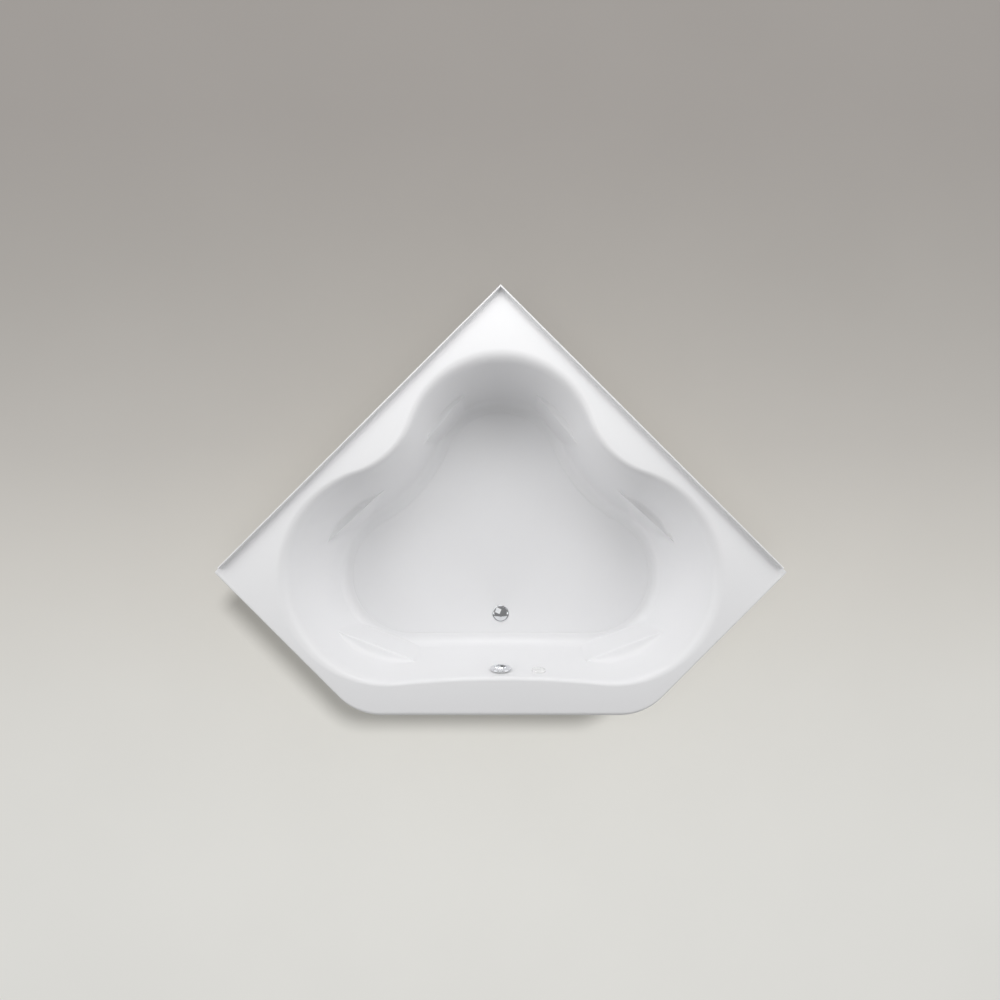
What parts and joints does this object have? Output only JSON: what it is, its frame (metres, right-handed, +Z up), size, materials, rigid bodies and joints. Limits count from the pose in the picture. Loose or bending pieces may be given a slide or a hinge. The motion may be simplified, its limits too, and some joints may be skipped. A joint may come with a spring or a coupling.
{
  "type": "corner bathtub",
  "caption": "Corner bathtub with a cut-off front, a three-lobed basin with armrest ledges, tile flanges, pop-up waste, overflow dial and air button on adjustable feet.",
  "frame": {"origin": "on the floor, under the middle of the tub's bounding rectangle", "axes": "+X to the right along the front edge, +Y to the back corner, +Z up"},
  "size_m": [2.1552, 1.6164, 0.533],
  "materials": {
    "shell": "glossy cast acrylic",
    "board": "raw chipboard",
    "steel": "galvanised",
    "chrome": "polished",
    "rubber": "matte",
    "waste_plastic": "satin moulded",
    "pad_plastic": "matte",
    "brass": "turned",
    "cable": "smooth sheath",
    "button_plastic": "glossy"
  },
  "bodies": {
    "bath": {"bath_shell": "shell", "base_board": "board", "bearer_front": "steel", "bearer_middle": "steel", "bearer_back": "steel", "bearer_screws": "steel", "weld_nuts": "steel", "lock_nuts": "steel", "wall_batten_left": "board", "wall_batten_right": "board", "front_batten": "board", "drain_flange": "chrome", "drain_gasket": "rubber", "waste_shoe": "waste_plastic", "bowden_cable": "cable", "shoe_pipe": "waste_plastic", "tail_pipe": "waste_plastic", "overflow_pipe": "waste_plastic", "waste_tee": "waste_plastic", "slip_nuts": "waste_plastic", "overflow_body": "waste_plastic", "overflow_gasket": "rubber", "overflow_retainer": "waste_plastic", "button_bezel": "button_plastic", "button_gasket": "rubber", "button_nut": "waste_plastic", "button_spring": "steel", "button_air_cell": "pad_plastic"},
    "stopper": {"drain_stopper": "chrome", "stopper_seal": "rubber"},
    "lift": {"lift_rocker": "brass", "lift_crank": "brass"},
    "wire": {"cable_wire": "steel"},
    "dial": {"overflow_dial": "chrome", "dial_drum": "brass"},
    "button": {"button_cap": "button_plastic"},
    "foot_1": {"foot_stem_1": "steel", "foot_pad_1": "pad_plastic"},
    "foot_2": {"foot_stem_2": "steel", "foot_pad_2": "pad_plastic"},
    "foot_3": {"foot_stem_3": "steel", "foot_pad_3": "pad_plastic"},
    "foot_4": {"foot_stem_4": "steel", "foot_pad_4": "pad_plastic"},
    "foot_5": {"foot_stem_5": "steel", "foot_pad_5": "pad_plastic"},
    "foot_6": {"foot_stem_6": "steel", "foot_pad_6": "pad_plastic"}
  },
  "joints": [
    {"name": "dial_turn", "type": "hinge", "parent": "bath", "child": "dial", "pos_m": [0, -0.65223, 0.434], "axis": [0, 0.9901, 0.1406], "range_deg": [0, 90]},
    {"name": "stopper_lift", "type": "slide", "parent": "bath", "child": "stopper", "axis": [0, 0, 1], "range_m": [0, 0.01]},
    {"name": "lift_swing", "type": "hinge", "parent": "bath", "child": "lift", "pos_m": [0, -0.464, 0.0897], "axis": [-1, 0, 0], "range_deg": [0, 41.85]},
    {"name": "wire_pull", "type": "slide", "parent": "bath", "child": "wire", "axis": [0, -1, 0], "range_m": [0, 0.0143]},
    {"name": "button_press", "type": "slide", "parent": "bath", "child": "button", "axis": [-0.032, -0.9895, -0.1406], "range_m": [0, 0.005], "stiffness_N_per_m": 700, "springref_m": -0.004, "deforming": ["button_spring"]},
    {"name": "foot_1_screw", "type": "slide", "parent": "bath", "child": "foot_1", "axis": [0, 0, -1], "range_m": [0, 0.025]},
    {"name": "foot_2_screw", "type": "slide", "parent": "bath", "child": "foot_2", "axis": [0, 0, -1], "range_m": [0, 0.025]},
    {"name": "foot_3_screw", "type": "slide", "parent": "bath", "child": "foot_3", "axis": [0, 0, -1], "range_m": [0, 0.025]},
    {"name": "foot_4_screw", "type": "slide", "parent": "bath", "child": "foot_4", "axis": [0, 0, -1], "range_m": [0, 0.025]},
    {"name": "foot_5_screw", "type": "slide", "parent": "bath", "child": "foot_5", "axis": [0, 0, -1], "range_m": [0, 0.025]},
    {"name": "foot_6_screw", "type": "slide", "parent": "bath", "child": "foot_6", "axis": [0, 0, -1], "range_m": [0, 0.025]}
  ],
  "couplings": [
    {"joint": "stopper_lift", "follows": "dial_turn", "m_per_rad": 0.00636},
    {"joint": "lift_swing", "follows": "dial_turn", "ratio": 0.46495},
    {"joint": "wire_pull", "follows": "dial_turn", "m_per_rad": 0.009094}
  ]
}
